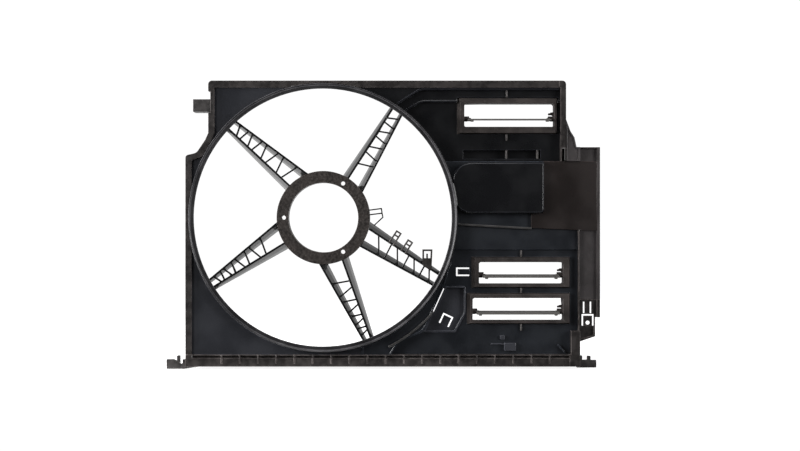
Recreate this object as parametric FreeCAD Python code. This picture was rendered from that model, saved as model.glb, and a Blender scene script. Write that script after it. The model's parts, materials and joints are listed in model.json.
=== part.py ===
import FreeCAD, Part
import math
import os

os.makedirs("parts", exist_ok=True)
V = FreeCAD.Vector

# Radiator fan shroud with three ram-air flaps, in millimetres.
# Origin on the fan axis in the motor ring, +X to the flap side, +Y to the radiator, +Z up.
# The frame is one thin-walled moulding, split here at its own feature lines; the flaps swing in it.

# ---- walls and clearances ----
wall = 2.5                  # plates, skirts and outer walls
rib = 2.0                   # ribs, nubs and lattice legs
bead = 1.3                  # raised rim along the edge of a raised panel
slot = 2.3                  # cut that frees a snap tongue
gap = 0.3                   # air between a flap and what it passes
pin_gap = 0.06              # radial play of a flap pin in its bearing

# ---- levels along Y, from the engine side to the radiator ----
lip_y = -22.0               # lip of the fan ring
cover_y = -17.0             # face of the duct cover
rail_y = -12.0              # rails round the edge
panel_y = -8.0              # panels round the fan ring
side_y = -5.0               # side panel
hub_y = -4.0                # face of the motor ring, and near ends of the feet
frame_y = -2.0              # surrounds of the flap windows
step_y = -1.0               # step above the flap deck
mid_y = 1.0                 # deck under the duct cover
rim_y = 4.0                 # rim of the pocket
deck_y = 6.0                # flap decks
pocket_y = 12.0             # floor of the pocket
seat_y = 60.0               # edge that seals against the radiator

# ---- fan ring: a band with an opening, a sloped lip inside it and a bead outside it ----
bore_r = 200.0              # opening in the band
band_drop = 1.5             # the band lies this far behind the bead
lip_depth = 15.0
lip_flare = 2.2             # the opening widens by this much over the lip, so it draws from the mould
tunnel_step = 8.0           # the tunnel that the fan's ring turns in is this much wider
tunnel_y = 22.0             # behind the struts
tunnel_length = 18.0
tunnel_draft = 0.3          # the skirt narrows by this much in front of the tunnel
bead_width = 2.5
skirt_slope = 2.0           # the bead stands this far inside the skirt's foot
skirt_foot_y = -9.0
band_y = lip_y + band_drop
tunnel_r = bore_r + tunnel_step
ring_r = tunnel_r + wall

# ---- outline, seen from the engine side: the tray round the ring and the flap side ----
top_margin = 3.0            # from the ring to the tray's edges
bottom_margin = 21.7
left_margin = 4.0
upper_right_reach = 168.2   # the flap side is placed from the ring
right_reach = 190.2
wing_width = 31.7
left_step_width = 35.5      # the tray is this much narrower above its left step
wing_top_z = 110.1
shoulder_z = 88.0           # the upper right rail ends here
wing_foot = 76.4            # heights above the tray's bottom edge
corner_zone = 55.6
deck_split = 182.5          # step between the middle and lower decks
corner_r = 6.0
# steps in the outline and in the rail's inner edge: X from the side, Z, radius
left_step = ((0.0, 97.0, 5.0), (17.2, 101.0, 12.0), (30.6, 120.9, 12.0), (left_step_width, 131.8))
upper_left_notch = ((0.0, -49.8), (3.4, -49.8), (3.4, -16.5), (0.0, -16.5))     # from the top corner
left_step_inside = ((0.0, 90.0, 5.0), (16.7, 94.0, 14.0), (30.2, 118.0, 12.0), (left_step_width, 131.8))
gusset_step = ((0.0, 43.5), (7.0, 24.8), (13.3, 14.8), (16.4, 0.0))     # above the wing's top

top_z = ring_r + top_margin
bottom_z = -ring_r - bottom_margin
left_x = -ring_r - left_margin
upper_left_x = left_x + left_step_width
upper_right_x = ring_r + upper_right_reach
right_x = ring_r + right_reach
wing_x = right_x + wing_width
wing_bottom_z = bottom_z + wing_foot
corner_zone_z = bottom_z + corner_zone
deck_split_z = bottom_z + deck_split
reach = 2 * (wing_x - left_x)   # longer than anything here, for trimming

# ---- rails: width of each band ----
top_band = 10.9
left_band = 9.8
bottom_band = 18.8
right_band = 8.5
corner_band = 14.2
groove_width = 3.4          # groove along the bottom rail, bridged by small ribs
groove_depth = 9.0
rail_rib_length = 13.6
rail_rib_pitch = 28.4
rail_rib_first = 56.5       # from the left side
rail_slot_height = 20.4     # slot in the upper right rail, above the shoulder

# ---- motor ring ----
motor_bore_r = 54.5
motor_ring_r = 73.0
motor_ring_depth = 25.0
flange_thickness = 4.0
collar_wall = 3.0
screw_circle = 123.4
screw_hole_r = 3.25
screw_boss_width = 14.0     # block that a screw goes into
screw_boss_depth = 12.0
screw_angles = (60.0, 180.0, 300.0)
web_setback = 4.0           # webs between the screws stop short of the collars' ends
bridge_root = 1.0           # blocks and webs reach this far into the collars

# ---- struts: angle on the motor ring and on the fan ring of both vanes, clockwise one first ----
struts = {
    "strut_upper_left": (109.0, 135.3, 131.6, 136.3),
    "strut_upper_right": (32.4, 56.3, 51.9, 56.9),
    "strut_lower_left": (185.5, 212.0, 208.2, 211.9),
    "strut_bottom": (264.8, 293.2, 287.8, 291.2),
    "strut_lower_right": (321.3, 344.9, 328.0, 333.4),
}
vane_thickness = 3.2
vane_depth_rim = 9.0
vane_slope_front = 0.42     # sideways lean of a vane's near half, per depth
vane_slope_back = 0.30      # the same for its far half
vane_rim_y = -18.0
overrun = 9.0               # length of a vane that is trimmed off in the rings
leg_width = 2.5             # lattice legs between the vanes
leg_depth = 6.0
leg_setback = 0.4           # from the vanes' near edges
leg_slant = 0.56            # run along the strut of every other leg, per width
leg_gap_clockwise = 0.35    # between two legs' ends on one vane, per width
leg_gap_counter = 0.42
leg_first = 0.047           # share of the strut's length, from the fan ring
leg_last = 0.86

# ---- flap windows: clear of the ring and of the tray's right side, bottom Z from an edge of
#      the tray, height, hinge above the bottom ----
windows = {
    "upper": (10.0, 39.4, -71.4, 36.7, 12.6),
    "middle": (32.9, 25.4, 128.6, 34.0, 12.9),
    "lower": (23.0, 25.4, 71.2, 35.2, 13.0),
}
window_edge = {"upper": top_z, "middle": bottom_z, "lower": bottom_z}
# surround outside each window: left, right, below, above
margins = {
    "upper": (11.4, 5.5, 11.4, 9.5),
    "middle": (11.7, 11.0, 6.7, 8.4),
    "lower": (8.9, 11.0, 6.0, 7.8),
}
draft = 2.0                 # slope of a surround's sides
draft_left = 5.5            # the left side slopes more
surround_wall = 2.2
tunnel_back_y = 26.0

# ---- flaps ----
hinge_y = 12.0
flap_thickness = 1.8
flap_tip = 1.1
flap_droop = 4.0            # degrees below level when open
flap_clearance = 0.9        # round the edge of a closed flap
pin_r = 2.0
pin_end_gap = 0.7           # between a pin's end and the bottom of its bearing
bearing_half = 3.5          # half the height of a bearing block
bearing_length = 5.5
ear_length = 5.0
# section of the ears that carry the pins, per half bearing: Y, Z
ear_profile = ((-1.0, 0.0), (-0.7, -0.7), (0.0, -0.95), (0.7, -0.7), (1.0, 0.0), (0.5, 0.65), (-0.5, 0.65))
stop_width = 2.5            # how far a stop reaches over the flap
stop_height = 3.0
shelf_back = 10.0           # an open flap's short side rests on a shelf this far behind the hinge
shelf_depth = 5.0
closed_stop_z = 8.0         # lug above the hinge that a closed flap rests on

# ---- trough under the upper window: clear of the ring and of the upper right side, bottom Z
#      above the shoulder, height ----
trough = (6.0, 36.0, 1.7, 18.7)
trough_y = 23.0             # its floor

# ---- duct cover, side panel and the ridge below them: X from the ring, Z from the shoulder ----
cover_overlap = 9.0         # the cover starts this far inside the ring's outer wall
cover_reach = 133.5
cover_drop = 2.2
cover_height = 79.0
cover_chamfer = 1.8
cover_left_r = 30.0         # large round corners beside the ring
cover_corner_r = 6.0
cover_ring_gap = 0.4
wing_rim = 4.8
side_left_drop = 103.8      # the side panel's foot slopes
side_right_drop = 108.4
ridge_start = (0.5, -98.5)
side_reach = 114.3          # the side panel passes below the cover up to here
cover_left_x = ring_r - cover_overlap
cover_right_x = ring_r + cover_reach
cover_top_z = shoulder_z - cover_drop
cover_bottom_z = cover_top_z - cover_height
side_bottom_left_z = shoulder_z - side_left_drop
side_bottom_right_z = shoulder_z - side_right_drop
side_left_x = ring_r + side_reach

# ---- ledge and step above the upper window: corner from the lip and from the top edge ----
ledge_corner = (-59.5, -14.6)
step_corner = (-57.5, -32.8)
ledge_r = 22.0

# ---- corners beside the ring: distance beyond its lip, angle ----
ring_corners = {
    "ledge": (0.5, 56.7),
    "step": (-0.9, 52.4),
    "panel_bend": (16.1, -58.5),
    "pocket": (25.0, -49.8),
    "slit_foot": (24.1, -47.2),
    "slit_top": (7.1, -30.55),
    "panel_top": (1.4, -19.3),
}

# ---- lower panels, pocket, and the slit between them ----
panel_foot = (-12.0, -19.0)     # from the bend
panel_bend_r = 8.0
arc_ridge_gap = 14.5
arc_ridge_angles = (-63.0, -40.0)
ridge_height = 3.0
panel_split = 150.5             # the left and right panels meet this far inside the lip
slit_length = 40.0
pocket_reach = 12.5             # beyond the lip
pocket_narrow = 3.8             # inside the lip
pocket_bend = 30.0              # above the pocket's corner
pocket_rise = 3.23          # above the slit
arc_ridge_r = ring_r + arc_ridge_gap
panel_split_x = ring_r - panel_split

# ---- snap tongues: root X and Z from an anchor, direction of the free end, length, width ----
tongues = {
    "snap_tongue_left": (18.0, 147.3, 180.0, 20.6, 8.8),
    "snap_tongue_pocket": (36.8, 11.4, 65.0, 17.0, 12.6),
    "snap_tongue_right": (-18.8, 63.2, 90.0, 18.0, 14.0),
}
barb = 1.6
latch_hole_r = 3.1
latch_hole_up = 4.6

# ---- latch bracket below the wing: heights above the tray's bottom edge ----
bracket_top = 104.2
bracket_low = 39.0
bracket_slope = 7.7
bracket_inset = 7.6
latch_slots = (-6.1, 4.5)   # from the tongue's middle
latch_slot_foot = 82.7
latch_slot_length = 18.0
bracket_top_z = bottom_z + bracket_top
bracket_low_z = bottom_z + bracket_low
bracket_side_x = wing_x - bracket_inset
latch_slot_z = bottom_z + latch_slot_foot

# ---- nubs, connector seat and corner brace ----
nub_reach = 76.2            # from the ring
nub_shift = 22.9            # the lower nubs stand this much further out
nub_length = 10.0
nub_height = 4.0
nub_height_step = 3.0
trough_nub_reach = 125.0
trough_nub_setback = 1.0
# left, right, bottom, top and height of each block, from the ring and the tray's bottom edge
connector_blocks = (
    (72.5, 90.5, 24.4, 36.2, 9.0),
    (66.1, 73.5, 41.6, 47.9, 5.0),
    (51.5, 72.5, 33.2, 35.2, 2.0),
)
brace = ((-33.7, 33.2), (-21.7, 20.2))      # from the tray's lower right corner
brace_height = 6.0
nub_x = ring_r + nub_reach
trough_nub_x = ring_r + trough_nub_reach

# ---- feet and top tab: corners from the tray's own corners ----
foot_depth = 10.0
left_foot_corners = (
    (-30.5, -4.1), (-2.6, -4.1), (24.5, 0.0), (0.0, 0.0), (0.0, 10.6), (-5.4, 10.6), (-5.4, 3.9),
    (-9.5, 3.9), (-9.5, 16.6), (-14.2, 16.6), (-14.2, 7.8), (-19.3, 10.6), (-30.5, 10.6))
right_foot_corners = (
    (-4.7, -2.1), (26.0, -2.1), (26.0, 9.6), (17.1, 9.6), (17.1, 16.0), (11.8, 16.0), (11.8, 9.8),
    (4.1, 9.8), (4.1, 16.5), (0.0, 16.5), (0.0, 0.0), (-4.7, 0.0))
tab_width = 24.0
tab_drop = 48.4
tab_height = 19.6
tab_back_y = 24.0
tab_bottom_z = top_z - tab_drop

# ---- cable guides on the lower right strut ----
guide_bar = 2.0
guide_depth = 9.0
hub_guide = ((-3.0, 11.4), (17.8, 14.2), (18.9, 6.9), (20.1, 0.5), (6.0, -12.5))
hub_guide_bar = ((-3.0, 4.2), (18.9, 6.9))
loops = {"cable_loop_inner": (0.325, 22.5), "cable_loop_outer": (0.50, 20.5)}
loop_width = 7.6
loop_rung = 6.5             # rung below a loop's top
rung_depth = 3.0
clip_place = 0.75           # along the strut
clip_frame = ((4.3, -0.1), (4.3, 21.1), (17.3, 21.1), (15.9, -10.1))
clip_tongue = ((10.3, 15.4), (10.3, 3.9))
clip_base = ((4.3, 8.4), (16.3, 8.4), (15.8, -10.1), (4.3, -3.1))


def outline(corners, y):
    """Closed wire in the plane at y through (x, z) corners; a third number rounds a corner."""
    runs = []
    for i, corner in enumerate(corners):
        here = V(corner[0], y, corner[1])
        before = V(corners[i - 1][0], y, corners[i - 1][1])
        after = V(corners[(i + 1) % len(corners)][0], y, corners[(i + 1) % len(corners)][1])
        radius = corner[2] if len(corner) > 2 else 0.0
        if not radius:
            runs.append((here, None, here))
            continue
        back = (before - here).normalize()
        ahead = (after - here).normalize()
        half = back.getAngle(ahead) / 2
        cut = radius / math.tan(half)
        middle = here + (back + ahead).normalize() * (radius / math.sin(half) - radius)
        runs.append((here + back * cut, middle, here + ahead * cut))
    edges = []
    for i, (start, middle, end) in enumerate(runs):
        if middle:
            edges.append(Part.Arc(start, middle, end).toShape())
        following = runs[(i + 1) % len(runs)][0]
        if (following - end).Length > 0.001:
            edges.append(Part.LineSegment(end, following).toShape())
    return Part.Wire(edges)


def slab(corners, y0, y1):
    return Part.Face(outline(corners, y0)).extrude(V(0, y1 - y0, 0))


def inset_slab(corners, inset, y0, y1):
    """Slab of the same outline made smaller all round, or larger when the inset is negative."""
    return Part.Face(outline(corners, y0)).makeOffset2D(-inset, 2).extrude(V(0, y1 - y0, 0))


def through(corners):
    """The same outline as a cutter through every level."""
    return slab(corners, -reach, reach)


def frustum(low, y0, high, y1):
    return Part.makeLoft([outline(low, y0), outline(high, y1)], True, True)


def disc(radius, y0, y1, x=0.0, z=0.0):
    return Part.makeCylinder(radius, y1 - y0, V(x, y0, z), V(0, 1, 0))


def rod(radius, x0, x1, y, z):
    return Part.makeCylinder(radius, abs(x1 - x0), V(min(x0, x1), y, z), V(1, 0, 0))


def block(x0, x1, y0, y1, z0, z1):
    return Part.makeBox(abs(x1 - x0), y1 - y0, z1 - z0, V(min(x0, x1), y0, z0))


def spun(profile):
    """Full turn about the fan axis of a closed (radius, y) profile."""
    points = [V(r, y, 0) for r, y in profile]
    return Part.Face(Part.makePolygon(points + points[:1])).revolve(V(0, 0, 0), V(0, 1, 0), 360)


def polar(radius, degrees):
    angle = math.radians(degrees)
    return radius * math.cos(angle), radius * math.sin(angle)


def rectangle(x0, x1, z0, z1):
    return [(x0, z0), (x1, z0), (x1, z1), (x0, z1)]


def shifted(points, x, z):
    return [(x + dx, z + dz) for dx, dz in points]


def beside(point, towards, along, across):
    """Point at a distance along the line to another point, and to the left of that line."""
    length = math.hypot(towards[0] - point[0], towards[1] - point[1])
    ux, uz = (towards[0] - point[0]) / length, (towards[1] - point[1]) / length
    return point[0] + ux * along - uz * across, point[1] + uz * along + ux * across


def strip(points, width, y0, y1):
    """Bar that follows (x, z) points, mitred at its bends."""
    normals = []
    for (x0, z0), (x1, z1) in zip(points, points[1:]):
        length = math.hypot(x1 - x0, z1 - z0)
        normals.append(((z0 - z1) / length, (x1 - x0) / length))
    left, right = [], []
    for i, (x, z) in enumerate(points):
        (ax, az), (bx, bz) = normals[max(i - 1, 0)], normals[min(i, len(normals) - 1)]
        mitre = width / 2 / (1 + ax * bx + az * bz)
        left.append((x + (ax + bx) * mitre, z + (az + bz) * mitre))
        right.append((x - (ax + bx) * mitre, z - (az + bz) * mitre))
    return slab(left + right[::-1], y0, y1)


def joined(shapes):
    return shapes[0].fuse(shapes[1:]).removeSplitter()


def largest(shape):
    return max(shape.Solids, key=lambda solid: solid.Volume)


def plateau(corners, y_top, y_foot, rim=bead):
    """Raised panel: a plate at y_top, a skirt down to the plate at y_foot, a rim along its edge."""
    body = slab(corners, y_top - rim, y_foot + wall)
    if rim:
        body = body.cut(inset_slab(corners, wall, y_top - rim, y_top))
    return body.cut(inset_slab(corners, wall, y_top + wall, y_foot + wall))


def basin(corners, y_top, y_floor):
    """Recessed panel: a floor at y_floor and a wall round it up to y_top."""
    return slab(corners, y_top, y_floor + wall).cut(inset_slab(corners, wall, y_top, y_floor))


# ---- the tray's outline, and the opening inside its rails ----
gusset_line = shifted(gusset_step, upper_right_x, wing_top_z)
tray = [
    (upper_left_x, top_z, corner_r), (upper_right_x, top_z, corner_r), *gusset_line,
    (right_x, wing_top_z), (right_x, bottom_z), (left_x, bottom_z),
    *[(left_x + step[0], *step[1:]) for step in left_step],
    *shifted(upper_left_notch, upper_left_x, top_z),
]
inner_left = left_x + left_band
inner_top = top_z - top_band
inner_bottom = bottom_z + bottom_band
inner_right = upper_right_x - right_band
inner_corner = right_x - corner_band
deck_right = right_x - wall
opening = [
    (upper_left_x + left_band, inner_top), (inner_right, inner_top), (inner_right, shoulder_z),
    (deck_right, shoulder_z), (deck_right, corner_zone_z), (inner_corner, corner_zone_z),
    (inner_corner, inner_bottom), (inner_left, inner_bottom),
    *[(inner_left + step[0], *step[1:]) for step in left_step_inside],
]
ring_hole = disc(ring_r, -reach, reach)
inside = through(opening)


# ---- rings ----
def fan_ring():
    """Band between a sloped lip and a bead, a skirt down to the panels, and the tunnel behind it."""
    bead_r = ring_r - skirt_slope
    back = tunnel_y + tunnel_length
    under = band_y + wall
    lip_r = bore_r + lip_flare
    return spun([
        (bore_r, band_y), (bead_r - bead_width, band_y), (bead_r, lip_y), (ring_r, skirt_foot_y),
        (ring_r, back), (tunnel_r, back), (tunnel_r, tunnel_y), (tunnel_r - tunnel_draft, skirt_foot_y),
        (bead_r - wall, under), (lip_r + rib, under),
        (lip_r + rib, band_y + lip_depth), (lip_r, band_y + lip_depth),
    ])


def ring_opening():
    """Space inside the lip, where the struts end."""
    return spun([(0, -reach), (bore_r, -reach), (bore_r, band_y), (bore_r + lip_flare, band_y + lip_depth),
                 (bore_r + lip_flare, reach), (0, reach)])


def motor_ring():
    """Flange between two collars, with a block for each screw and a web opposite it."""
    back = hub_y + motor_ring_depth
    flange_back = hub_y + flange_thickness
    inner = motor_bore_r + collar_wall
    outer = motor_ring_r - collar_wall
    body = spun([
        (motor_bore_r, hub_y), (motor_ring_r, hub_y), (motor_ring_r, back), (outer, back),
        (outer, flange_back), (inner, flange_back), (inner, back), (motor_bore_r, back),
    ])
    bridges = []
    for angle in screw_angles:
        half = screw_boss_width / 2
        boss = block(inner - bridge_root, outer + bridge_root, hub_y, hub_y + screw_boss_depth, -half, half)
        boss.rotate(V(0, 0, 0), V(0, 1, 0), -angle)
        web = block(inner - bridge_root, outer + bridge_root, hub_y, back - web_setback, -rib / 2, rib / 2)
        web.rotate(V(0, 0, 0), V(0, 1, 0), 180 - angle)
        bridges += [boss, web]
    body = joined([body] + bridges)
    for angle in screw_angles:
        body = body.cut(disc(screw_hole_r, hub_y, back, *polar(screw_circle / 2, angle)))
    return body


# ---- struts ----
def vane_line(hub_angle, rim_angle):
    """Ends of a vane's near edge, the unit vector along it and the one to its leaning side."""
    start = V(*polar(motor_ring_r, hub_angle), 0)
    end = V(*polar(bore_r, rim_angle), 0)
    along = (end - start).normalize()
    return start, end, along, V(-along.y, along.x, 0)


def vane_near_y(t):
    """Level of a strut's near edge, from the motor ring at 0 to the fan ring at 1."""
    return hub_y + (vane_rim_y - hub_y) * t


def vane(hub_angle, rim_angle):
    """Tapered blade bent once along its middle, so that every face of it is flat."""
    start, end, along, side = vane_line(hub_angle, rim_angle)
    across = V(side.x, 0, side.y)
    rings = []
    for centre, near, depth in ((start - along * overrun, hub_y, motor_ring_depth),
                                (end + along * overrun, vane_rim_y, vane_depth_rim)):
        front = V(centre.x, near, centre.y)
        middle = front + V(0, depth / 2, 0) + across * (depth / 2 * vane_slope_front)
        back = middle + V(0, depth / 2, 0) + across * (depth / 2 * vane_slope_back)
        thick = across * vane_thickness
        rings.append([front, middle, back, back + thick, middle + thick, front + thick])
    hub, rim = rings
    faces = [Part.Face(Part.makePolygon(ring + ring[:1])) for ring in rings]
    for i in range(len(hub)):
        j = (i + 1) % len(hub)
        faces.append(Part.Face(Part.makePolygon([hub[i], hub[j], rim[j], rim[i], hub[i]])))
    solid = Part.Solid(Part.Shell(faces))
    return solid if solid.Volume > 0 else solid.reversed()


def legs(line_1, line_2):
    """Thin bars between the near edges of two vanes, square and slanting in turn."""
    start_1, end_1, along, side = line_1
    start_2, end_2 = line_2[:2]
    length = (end_1 - start_1).Length
    centre = side * (vane_thickness / 2)
    bars = []
    t = leg_first
    slanting = True
    while True:
        width = ((end_1 + (start_1 - end_1) * t) - (end_2 + (start_2 - end_2) * t)).Length
        other = t + (leg_slant * width / length if slanting else 0)
        if other > leg_last:
            return bars
        a = end_1 + (start_1 - end_1) * t + centre
        b = end_2 + (start_2 - end_2) * other + centre
        near = vane_near_y(1 - other) + leg_setback
        bars.append(strip([(a.x, a.y), (b.x, b.y)], leg_width, near, near + leg_depth))
        t = other + (leg_gap_counter if slanting else leg_gap_clockwise) * width / length
        slanting = not slanting


def strut(hub_1, hub_2, rim_1, rim_2):
    """Two leaning vanes tied by a lattice, trimmed to both rings."""
    bars = legs(vane_line(hub_1, rim_1), vane_line(hub_2, rim_2))
    body = vane(hub_1, rim_1).fuse([vane(hub_2, rim_2)] + bars)
    body = body.cut(disc(motor_ring_r, -reach, reach))
    return body.common(ring_opening()).removeSplitter()


# ---- rails round the tray ----
def channel():
    """Outer wall to the radiator, band at the near side and inner lip, all round the tray."""
    outer = slab(tray, rail_y, seat_y).cut(inset_slab(tray, wall, rail_y + wall, seat_y))
    lip = inset_slab(opening, -rib, rail_y, deck_y + wall).common(slab(tray, rail_y, seat_y))
    return outer.fuse(lip).cut(inside).cut(ring_hole)


def bottom_rail(rail):
    """Groove along the rail and the small ribs that bridge it."""
    first = left_x + rail_rib_first
    top = inner_bottom - rib
    foot = top - groove_width
    floor_y = rail_y + groove_depth
    case = block(inner_left, inner_corner - rib, rail_y, floor_y + rib, foot - rib, top)
    groove = block(inner_left, inner_corner - rib, rail_y, floor_y, foot, top)
    shapes = [rail.fuse(case).cut(groove)]
    for k in range(int((inner_corner - first) / rail_rib_pitch)):
        x = first + k * rail_rib_pitch - rib / 2
        tick = block(x, x + rib, rail_y - rib / 2, rail_y + wall,
                     inner_bottom - rail_rib_length, inner_bottom)
        shapes.append(tick)
    return joined(shapes)


def right_rail(rail):
    """Upper right rail with a short blind slot along its outer edge, open where the gusset stands."""
    slot_top, gusset_z = shoulder_z + rail_slot_height, gusset_line[0][1]
    x0, x1 = inner_right + rib, upper_right_x - bead / 2
    cut = block(x0, x1, rail_y, deck_y, shoulder_z, slot_top)
    floor = block(x0 - rib, x1, deck_y, deck_y + rib, shoulder_z, slot_top)
    beyond = block(upper_right_x, reach, -reach, reach, shoulder_z, gusset_z)
    return joined([rail.cut(cut).cut(beyond), floor])


def corner_gusset():
    """Raised curved plate between the upper right rail and the wing, on its own outer wall."""
    corners = gusset_line + [(right_x, wing_top_z), (right_x, shoulder_z), (upper_right_x, shoulder_z)]
    skirt = slab(corners, mid_y, seat_y).cut(inset_slab(corners, wall, mid_y, seat_y))
    return joined([plateau(corners, panel_y, mid_y, rib), skirt])


def right_wall():
    """Plain outer wall behind the side panel and beside the lower deck."""
    tall = block(deck_right, right_x, side_y, seat_y, corner_zone_z, side_bottom_right_z)
    low = block(deck_right, right_x, mid_y + wall, seat_y, side_bottom_right_z, shoulder_z)
    return joined([tall, low])


def rails():
    """The channel, split where the rails meet."""
    body = channel()
    split_top = inner_top - rib
    split_right = inner_right - rib
    split_corner = inner_corner - rib
    return {
        "top_rail": body.common(block(-reach, split_right, -reach, reach, split_top, reach)),
        "left_rail": body.common(block(-reach, 0, -reach, reach, inner_bottom, split_top)),
        "bottom_rail": bottom_rail(
            body.common(block(-reach, split_corner, -reach, reach, -reach, inner_bottom))),
        "right_rail": right_rail(
            body.common(block(split_right, reach, -reach, reach, shoulder_z, reach))),
        "corner_gusset": corner_gusset(),
        "lower_right_rail": body.common(
            block(split_corner, reach, -reach, reach, -reach, corner_zone_z)),
        "right_wall": right_wall(),
    }


# ---- outlines that panels and decks share ----
def by_ring(name):
    distance, angle = ring_corners[name]
    return polar(ring_r + distance, angle)


def above_corner(corner, name):
    """Outline of all that lies above a ledge, which runs from the ring to the flap side."""
    (x, z), = shifted([corner], ring_r, top_z)
    return [(0, reach), (reach, reach), (reach, z), (x, z, ledge_r), by_ring(name), (0, 0)]


ledge = above_corner(ledge_corner, "ledge")
step = above_corner(step_corner, "step")
panel_bend = by_ring("panel_bend")
foot_x, foot_z = panel_bend[0] + panel_foot[0], panel_bend[1] + panel_foot[1]
pocket_corner = by_ring("pocket")
slit_foot = by_ring("slit_foot")
slit_top = by_ring("slit_top")
panel_top = by_ring("panel_top")
ring_side = [
    (panel_split_x, -reach), (foot_x, -reach), (foot_x, foot_z), (*panel_bend, panel_bend_r),
    (*pocket_corner, 4.0), slit_foot, slit_top, panel_top, (panel_split_x, panel_top[1]),
]
slit = [slit_top, beside(slit_top, slit_foot, slit_length, 0),
        beside(slit_top, slit_foot, slit_length, slot), beside(slit_top, slit_foot, 0, slot)]
pocket_right_x = ring_r + pocket_reach
pocket_top_z = slit_top[1] + pocket_rise
pocket = [
    (slit[3][0], pocket_top_z), slit[3], slit[2], slit[1], slit_foot, pocket_corner,
    (ring_r - pocket_narrow, pocket_corner[1], 4.0), (pocket_right_x, pocket_corner[1] + pocket_bend, 8.0),
    (pocket_right_x, pocket_top_z, 3.0),
]
side = [(side_left_x, side_bottom_left_z), (wing_x - wing_rim, side_bottom_right_z),
        (wing_x - wing_rim, shoulder_z), (cover_right_x, shoulder_z),
        (cover_right_x, cover_bottom_z), (side_left_x, cover_bottom_z)]
trough_z = shoulder_z + trough[2]
trough_box = rectangle(ring_r + trough[0], upper_right_x - trough[1], trough_z, trough_z + trough[3])
tongue_anchor = {
    "snap_tongue_left": (ring_r, bottom_z),
    "snap_tongue_pocket": pocket_corner,
    "snap_tongue_right": (wing_x, bottom_z),
}


def window(name):
    """Left X, width, bottom Z, height and hinge Z of a flap window."""
    left, right, z, height, hinge_up = windows[name]
    width = right_reach - right - left
    return ring_r + left, width, window_edge[name] + z, height, window_edge[name] + z + hinge_up


def surround(name):
    """Left, right, bottom and top of the raised surround of a window."""
    x, width, z, height, _ = window(name)
    left, right, below, above = margins[name]
    return x - left, x + width + right, z - below, z + height + above


def window_hole(name):
    return through(rectangle(*surround(name)))


# ---- snap tongues ----
def tongue_root(name):
    anchor = tongue_anchor[name]
    return anchor[0] + tongues[name][0], anchor[1] + tongues[name][1]


def tongue_corners(name, start, end, half):
    (x, z), angle = tongue_root(name), tongues[name][2]
    far = (x + math.cos(math.radians(angle)), z + math.sin(math.radians(angle)))
    return [beside((x, z), far, along, across)
            for along, across in ((start, -half), (end, -half), (end, half), (start, half))]


def tongue_hole(name):
    """Cut-out that a snap tongue stands in."""
    length, width = tongues[name][3:]
    return through(tongue_corners(name, 0, length, width / 2 + slot))


def tongue(name, y_face):
    """Plate free on three sides, with a barb across its end."""
    length, width = tongues[name][3:]
    free = length - slot
    plate = slab(tongue_corners(name, 0, free, width / 2), y_face, y_face + wall)
    hook = slab(tongue_corners(name, free - rib, free, width / 2), y_face - barb, y_face)
    return joined([plate, hook])


# ---- duct cover and the ridge below it ----
def cover_outline(inset):
    left, right = cover_left_x + inset, cover_right_x - inset
    low, high = cover_bottom_z + inset, cover_top_z - inset
    return [(left, low, cover_left_r), (right, low, cover_corner_r),
            (right, high), (left, high, cover_left_r)]


def cover_hollow(back):
    return inset_slab(cover_outline(0), wall, cover_y + wall, back)


def duct_cover():
    """Deep cover with a chamfered face, open to the radiator and trimmed round the fan ring."""
    body = slab(cover_outline(0), cover_y, mid_y)
    face_edges = [edge for edge in body.Edges if max(v.Y for v in edge.Vertexes) < cover_y + wall]
    body = body.makeChamfer(cover_chamfer, face_edges)
    return body.cut(cover_hollow(mid_y)).cut(disc(ring_r + cover_ring_gap, -reach, reach))


def deck_ridge():
    """Rib along the foot of the duct deck, in line with the side panel's foot."""
    (x, z), = shifted([ridge_start], ring_r, shoulder_z)
    end = (side_left_x, side_bottom_left_z - rib / 2)
    return strip([(x, z), end], rib, side_y, mid_y).cut(ring_hole)


# ---- panels and decks ----
def panel(corners, y_top, y_foot):
    return plateau(corners, y_top, y_foot).cut(ring_hole).common(inside)


def flat(corners, y):
    return slab(corners, y, y + wall).common(inside).cut(ring_hole)


def upper_flap_deck():
    deck = flat(rectangle(panel_split_x, reach, shoulder_z, reach), deck_y)
    deck = deck.cut(through(step)).cut(window_hole("upper")).cut(through(trough_box))
    return joined([deck, basin(trough_box, deck_y, trough_y)])


def lower_flap_deck():
    deck = flat(rectangle(panel_split_x, deck_right, -reach, deck_split_z), deck_y)
    for cutter in (through(ring_side), through(slit), through(pocket), window_hole("middle"),
                   window_hole("lower"), tongue_hole("snap_tongue_left")):
        deck = deck.cut(cutter)
    return deck


def duct_deck():
    """Deck with the duct cover and the side panel standing on it, open behind both of them."""
    deck = plateau(rectangle(panel_split_x, deck_right, deck_split_z, shoulder_z), mid_y, deck_y, 0)
    deck = deck.common(inside).cut(ring_hole)
    behind_cover = cover_hollow(deck_y + wall).cut(disc(ring_r + cover_ring_gap + wall, -reach, reach))
    return deck.cut(behind_cover).cut(inset_slab(side, wall, mid_y, deck_y + wall))


def panels():
    quarter = rectangle(-reach, 0, 0, reach)
    lower_quarter = rectangle(-reach, panel_split_x, -reach, 0)
    pocket_body = basin(pocket, rim_y, pocket_y).cut(ring_hole).cut(through(ring_side))
    return {
        "upper_left_panel": flat(quarter, panel_y),
        "lower_left_panel": flat(lower_quarter, panel_y),
        "upper_ledge": panel(ledge, panel_y, step_y),
        "upper_step": panel(step, step_y, deck_y).cut(through(ledge)).cut(window_hole("upper")),
        "lower_right_panel": panel(ring_side, panel_y, deck_y),
        "upper_flap_deck": upper_flap_deck(),
        "duct_deck": duct_deck(),
        "lower_flap_deck": lower_flap_deck(),
        "snap_tongue_left": tongue("snap_tongue_left", deck_y),
        "pocket": pocket_body.cut(tongue_hole("snap_tongue_pocket")),
        "snap_tongue_pocket": tongue("snap_tongue_pocket", pocket_y),
    }


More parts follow.
